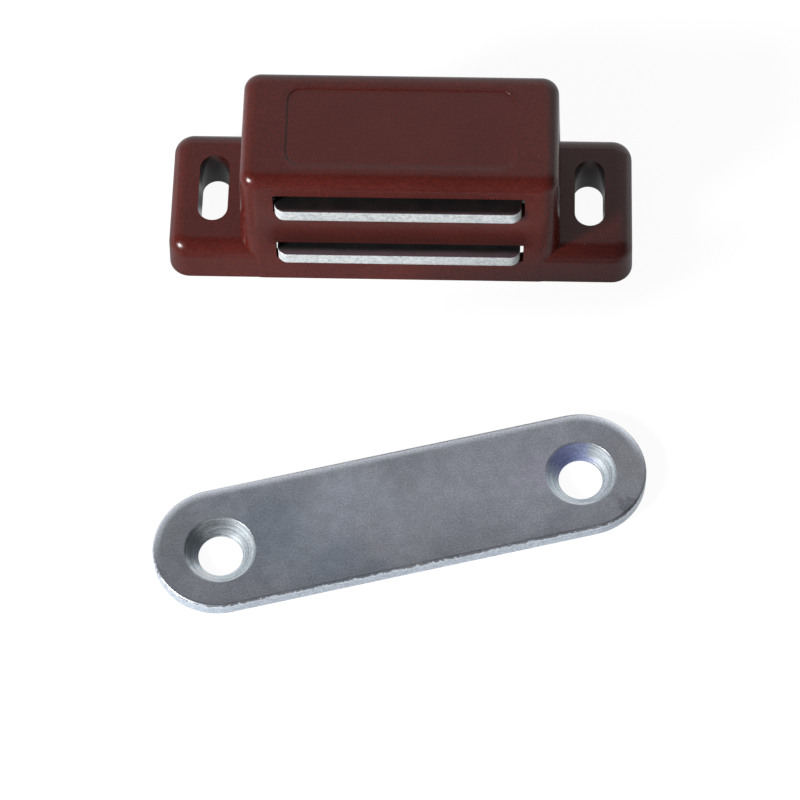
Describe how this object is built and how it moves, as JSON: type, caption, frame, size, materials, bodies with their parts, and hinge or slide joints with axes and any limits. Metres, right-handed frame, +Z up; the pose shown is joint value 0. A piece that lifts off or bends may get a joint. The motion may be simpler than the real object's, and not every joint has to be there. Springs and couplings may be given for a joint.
{
  "type": "magnetic catch",
  "caption": "Magnetic cupboard catch: eared plastic housing with a loose magnet and two steel poles in its front windows, and a flat round-ended strike plate with countersunk screw holes.",
  "frame": {"origin": "middle of the housing's mounting face, between its two screw slots", "axes": "+Z up from the mounting face, -Y the way the poles look, +X along the housing"},
  "size_m": [0.0513, 0.0559, 0.0177],
  "materials": {
    "housing_plastic": "dark red-brown, glossy moulded",
    "pole_steel": "bright zinc plated, sheared edges",
    "ferrite": "matt dark grey, sintered",
    "plated_steel": "cloudy zinc plated sheet, turned countersinks"
  },
  "bodies": {
    "catch": {"housing": "housing_plastic", "strike_plate": "plated_steel"},
    "pole_pack": {"lower_pole_plate": "pole_steel", "magnet": "ferrite", "upper_pole_plate": "pole_steel"}
  },
  "joints": [
    {"name": "pack_float", "type": "slide", "parent": "catch", "child": "pole_pack", "axis": [0, 0, 1], "range_m": [0, 0.0012]}
  ]
}
